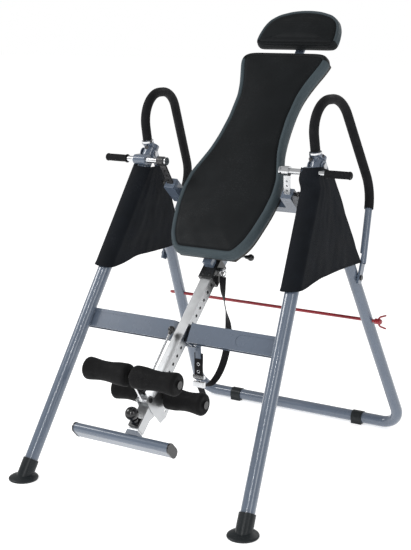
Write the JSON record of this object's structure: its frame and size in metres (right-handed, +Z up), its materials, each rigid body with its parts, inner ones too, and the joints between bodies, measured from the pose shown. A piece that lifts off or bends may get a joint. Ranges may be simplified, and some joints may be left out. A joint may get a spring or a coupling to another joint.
{
  "type": "inversion table",
  "caption": "Inversion table with a folding A-frame, padded tilting bed and headrest, sliding leg shaft, foam ankle rollers, footrest, curved handlebars and tether strap.",
  "frame": {"origin": "on the floor, under the middle of the bounding box", "axes": "+X across the table towards the side with the height pin, +Y from the foot end to the head end, +Z up"},
  "size_m": [0.972, 1.2439, 1.5429],
  "materials": {
    "frame_paint": "gloss",
    "chrome": "polished",
    "axle_steel": "satin",
    "black_steel": "satin",
    "rod_paint": "gloss",
    "vinyl": "satin",
    "board": "painted",
    "foam": "matte",
    "black_rubber": "matte",
    "black_plastic": "satin",
    "nylon": "woven",
    "webbing": "woven"
  },
  "bodies": {
    "front_frame": {"front_leg_left": "frame_paint", "front_leg_right": "frame_paint", "front_feet": "black_rubber", "crossbar": "frame_paint", "cradle_bumper": "black_rubber", "leg_collars": "frame_paint", "handlebar_left": "frame_paint", "handlebar_right": "frame_paint", "foam_grips": "foam", "collar_rings": "chrome", "handlebar_bolts": "black_steel", "axle_brackets": "frame_paint", "tilt_axle_bars": "chrome", "side_grips": "foam", "side_cover_left": "nylon", "side_cover_right": "nylon", "fold_pivots": "axle_steel", "tether_strap": "webbing", "tether_belt": "webbing", "tether_buckle": "chrome"},
    "rear_frame": {"rear_leg_left": "frame_paint", "rear_leg_right": "frame_paint", "rear_rail": "frame_paint", "floor_pads": "black_rubber", "hinge_plates": "frame_paint"},
    "stop_rod": {"stop_rod": "rod_paint", "rod_knob": "rod_paint"},
    "bed": {"backrest_pad": "vinyl", "bed_board": "board", "bed_spine": "frame_paint", "shaft_housing": "frame_paint", "crossmember": "frame_paint", "bed_brackets": "frame_paint", "pivot_arm_left": "black_steel", "pivot_arm_right": "chrome", "arm_knobs": "black_plastic", "shaft_bushing": "black_plastic", "strap_ring": "chrome", "headrest_socket": "frame_paint"},
    "headrest": {"headrest_pad": "vinyl", "headrest_post": "frame_paint"},
    "leg_shaft": {"main_shaft": "chrome", "heel_brackets": "chrome", "rear_roller_axle": "axle_steel", "clamp_bolt": "axle_steel", "footrest_barrel": "black_plastic"},
    "height_pin": {"height_pin": "chrome", "height_pin_ball": "black_plastic"},
    "ankle_clamp": {"clamp_bracket": "chrome", "front_roller_axle": "axle_steel", "ankle_lever": "chrome", "lever_ball": "black_plastic"},
    "front_roller_left": {"front_roller_left": "foam"},
    "front_roller_right": {"front_roller_right": "foam"},
    "rear_roller_left": {"rear_roller_left": "foam"},
    "rear_roller_right": {"rear_roller_right": "foam"},
    "footrest": {"footrest_stem": "chrome", "footrest_bar": "frame_paint", "footrest_caps": "black_plastic"},
    "footrest_pin": {"footrest_knob": "black_plastic"}
  },
  "joints": [
    {"name": "frame_fold", "type": "hinge", "parent": "front_frame", "child": "rear_frame", "pos_m": [0, 0.04388, 1.041], "axis": [1, 0, 0], "range_deg": [-31, 0]},
    {"name": "bed_tilt", "type": "hinge", "parent": "front_frame", "child": "bed", "pos_m": [0, -0.00512, 1.024], "axis": [-1, 0, 0], "range_deg": [0, 90]},
    {"name": "stop_rod_pull", "type": "slide", "parent": "rear_frame", "child": "stop_rod", "axis": [1, 0, 0], "range_m": [0, 0.03]},
    {"name": "headrest_slide", "type": "slide", "parent": "bed", "child": "headrest", "axis": [0, 0.6607, 0.7507], "range_m": [-0.03, 0.05]},
    {"name": "height_slide", "type": "slide", "parent": "bed", "child": "leg_shaft", "axis": [0, 0.723, 0.6909], "range_m": [-0.096, 0.064]},
    {"name": "height_pin_pull", "type": "slide", "parent": "bed", "child": "height_pin", "axis": [1, 0, 0], "range_m": [0, 0.012], "stiffness_N_per_m": 600, "springref_m": -0.004},
    {"name": "ankle_clamp_swing", "type": "hinge", "parent": "leg_shaft", "child": "ankle_clamp", "pos_m": [0, -0.46869, 0.32511], "axis": [1, 0, 0], "range_deg": [0, 25], "stiffness_Nm_per_rad": 8, "springref_deg": -28.65},
    {"name": "footrest_slide", "type": "slide", "parent": "leg_shaft", "child": "footrest", "axis": [0, -0.723, -0.6909], "range_m": [0, 0.03]},
    {"name": "footrest_pin_pull", "type": "slide", "parent": "leg_shaft", "child": "footrest_pin", "axis": [0, -0.4955, 0.8686], "range_m": [0, 0.01], "stiffness_N_per_m": 600, "springref_m": -0.004},
    {"name": "front_roller_left_spin", "type": "hinge", "parent": "ankle_clamp", "child": "front_roller_left", "pos_m": [0, -0.53444, 0.41996], "axis": [1, 0, 0], "continuous": true},
    {"name": "front_roller_right_spin", "type": "hinge", "parent": "ankle_clamp", "child": "front_roller_right", "pos_m": [0, -0.53444, 0.41996], "axis": [1, 0, 0], "continuous": true},
    {"name": "rear_roller_left_spin", "type": "hinge", "parent": "leg_shaft", "child": "rear_roller_left", "pos_m": [0, -0.38547, 0.31473], "axis": [1, 0, 0], "continuous": true},
    {"name": "rear_roller_right_spin", "type": "hinge", "parent": "leg_shaft", "child": "rear_roller_right", "pos_m": [0, -0.38547, 0.31473], "axis": [1, 0, 0], "continuous": true}
  ]
}
